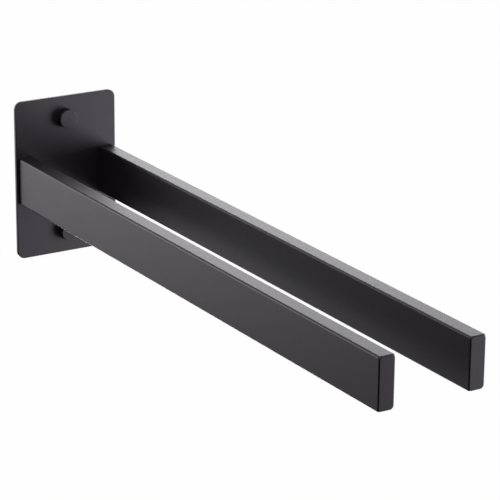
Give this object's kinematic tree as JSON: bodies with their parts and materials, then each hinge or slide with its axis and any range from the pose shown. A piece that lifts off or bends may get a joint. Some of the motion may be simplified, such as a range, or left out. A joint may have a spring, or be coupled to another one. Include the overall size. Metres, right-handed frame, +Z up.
{
  "type": "towel rail",
  "caption": "Wall-mounted towel rail: parallel flat bars on edge stand out from a slim rounded plate that is fixed by screws under round screw-on caps.",
  "frame": {"origin": "the middle of the wall plate's back face, which lies on the wall", "axes": "+Z up, +Y into the wall, so the arms reach out along -Y; +X to the right for someone facing the wall"},
  "size_m": [0.07, 0.4304, 0.102],
  "materials": {
    "black_powder_coat": "satin black powder coat with a very fine orange peel",
    "black_cap_finish": "satin black coat over turned metal",
    "zinc_plated_steel": "bright zinc plate",
    "stainless_screw": "plain stainless steel",
    "plug_nylon": "moulded grey nylon",
    "collar_brass": "turned brass, left bare",
    "glide_nylon": "moulded black nylon"
  },
  "bodies": {
    "root": {"wall_plate": "black_powder_coat", "left_arm_tube": "black_powder_coat", "right_arm_tube": "black_powder_coat", "left_arm_anchor_block": "zinc_plated_steel", "right_arm_anchor_block": "zinc_plated_steel", "left_arm_end_cap": "black_powder_coat", "right_arm_end_cap": "black_powder_coat", "arm_screws": "zinc_plated_steel", "wall_screws": "stainless_screw", "wall_plugs": "plug_nylon", "upper_cap_collar": "collar_brass", "lower_cap_collar": "collar_brass"},
    "upper_ring": {"upper_glide_ring": "glide_nylon"},
    "upper_cap": {"upper_screw_cap": "black_cap_finish"},
    "lower_ring": {"lower_glide_ring": "glide_nylon"},
    "lower_cap": {"lower_screw_cap": "black_cap_finish"}
  },
  "joints": [
    {"name": "upper_cap_slide", "type": "slide", "parent": "root", "child": "upper_ring", "axis": [0, -1, 0], "range_m": [0, 0.0015]},
    {"name": "upper_cap_turn", "type": "hinge", "parent": "upper_ring", "child": "upper_cap", "pos_m": [0, 0, 0.037], "axis": [0, -1, 0], "range_deg": [0, 720]},
    {"name": "lower_cap_slide", "type": "slide", "parent": "root", "child": "lower_ring", "axis": [0, -1, 0], "range_m": [0, 0.0015]},
    {"name": "lower_cap_turn", "type": "hinge", "parent": "lower_ring", "child": "lower_cap", "pos_m": [0, 0, -0.037], "axis": [0, -1, 0], "range_deg": [0, 720]}
  ],
  "couplings": [
    {"joint": "upper_cap_turn", "follows": "upper_cap_slide", "rad_per_m": 8377.6},
    {"joint": "lower_cap_turn", "follows": "lower_cap_slide", "rad_per_m": 8377.6}
  ]
}
